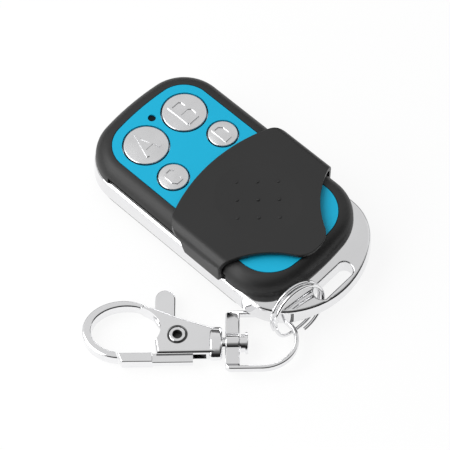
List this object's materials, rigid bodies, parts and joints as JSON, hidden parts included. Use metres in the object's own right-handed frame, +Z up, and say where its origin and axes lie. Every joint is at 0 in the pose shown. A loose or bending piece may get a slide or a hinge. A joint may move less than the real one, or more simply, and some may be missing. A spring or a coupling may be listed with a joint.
{
  "type": "remote control",
  "caption": "Wireless key-ring remote control with lettered buttons under a sliding cover, on a split ring with a swivel trigger clasp",
  "frame": {"origin": "centre of the fob's flat back, on the surface it lies on", "axes": "+Y along the fob towards the buttons, +X across it towards the B button, +Z up out of the button face"},
  "size_m": [0.0622, 0.0654, 0.0141],
  "materials": {
    "chrome_plate": "polished",
    "cast_chrome": "polished",
    "spring_wire": "polished",
    "black_shell": "satin",
    "black_cover": "satin",
    "blue_plate": "anodised satin",
    "silver_cap": "satin metallised",
    "dark_window": "gloss",
    "zinc_steel": "satin",
    "board": "satin",
    "part_black": "matte",
    "part_metal": "satin",
    "copper_tin": "satin",
    "battery_sleeve": "gloss",
    "lamp_clear": "gloss"
  },
  "bodies": {
    "fob": {"chrome_frame": "chrome_plate", "front_shell": "black_shell", "face_plate": "blue_plate", "back_cover": "black_shell", "case_screws": "zinc_steel", "circuit_board": "board", "tact_switches": "part_black", "indicator_led": "lamp_clear", "light_pipe": "dark_window", "encoder_chip": "part_black", "resonator_can": "part_metal", "chip_components": "part_black", "antenna_loop": "copper_tin", "battery": "battery_sleeve", "battery_contact_positive": "zinc_steel", "battery_contact_negative": "zinc_steel"},
    "cover": {"slide_cover": "black_cover"},
    "ring": {"split_ring": "spring_wire"},
    "loop": {"swivel_loop": "cast_chrome"},
    "clasp": {"clasp_body": "cast_chrome", "clasp_rivet": "cast_chrome", "swivel_rivet": "cast_chrome", "gate_spring": "zinc_steel"},
    "gate": {"clasp_gate": "cast_chrome"},
    "button_a": {"button_a": "silver_cap", "switch_plunger_a": "part_black"},
    "button_b": {"button_b": "silver_cap", "switch_plunger_b": "part_black"},
    "button_c": {"button_c": "silver_cap", "switch_plunger_c": "part_black"},
    "button_d": {"button_d": "silver_cap", "switch_plunger_d": "part_black"}
  },
  "joints": [
    {"name": "cover_slide", "type": "slide", "parent": "fob", "child": "cover", "axis": [0, 1, 0], "range_m": [0, 0.0213]},
    {"name": "button_a_press", "type": "slide", "parent": "fob", "child": "button_a", "axis": [0, 0, -1], "range_m": [0, 0.0003], "stiffness_N_per_m": 400},
    {"name": "button_b_press", "type": "slide", "parent": "fob", "child": "button_b", "axis": [0, 0, -1], "range_m": [0, 0.0003], "stiffness_N_per_m": 400},
    {"name": "button_c_press", "type": "slide", "parent": "fob", "child": "button_c", "axis": [0, 0, -1], "range_m": [0, 0.0003], "stiffness_N_per_m": 400},
    {"name": "button_d_press", "type": "slide", "parent": "fob", "child": "button_d", "axis": [0, 0, -1], "range_m": [0, 0.0003], "stiffness_N_per_m": 400},
    {"name": "ring_swing", "type": "hinge", "parent": "fob", "child": "ring", "pos_m": [-0.0044, -0.02865, 0.00545], "axis": [0, 0, 1], "range_deg": [0, 120]},
    {"name": "loop_swing", "type": "hinge", "parent": "ring", "child": "loop", "pos_m": [-0.0139, -0.0282, 0.0015], "axis": [0, 0, 1], "range_deg": [0, 30]},
    {"name": "clasp_swivel", "type": "hinge", "parent": "loop", "child": "clasp", "pos_m": [-0.02614, -0.01921, 0.00234], "axis": [-0.6881, 0.7251, -0.029], "continuous": true},
    {"name": "gate_hinge", "type": "hinge", "parent": "clasp", "child": "gate", "pos_m": [-0.0306, -0.01262, 0.00211], "axis": [0.02, -0.021, -0.9996], "range_deg": [0, 20], "stiffness_Nm_per_rad": 0.02}
  ]
}
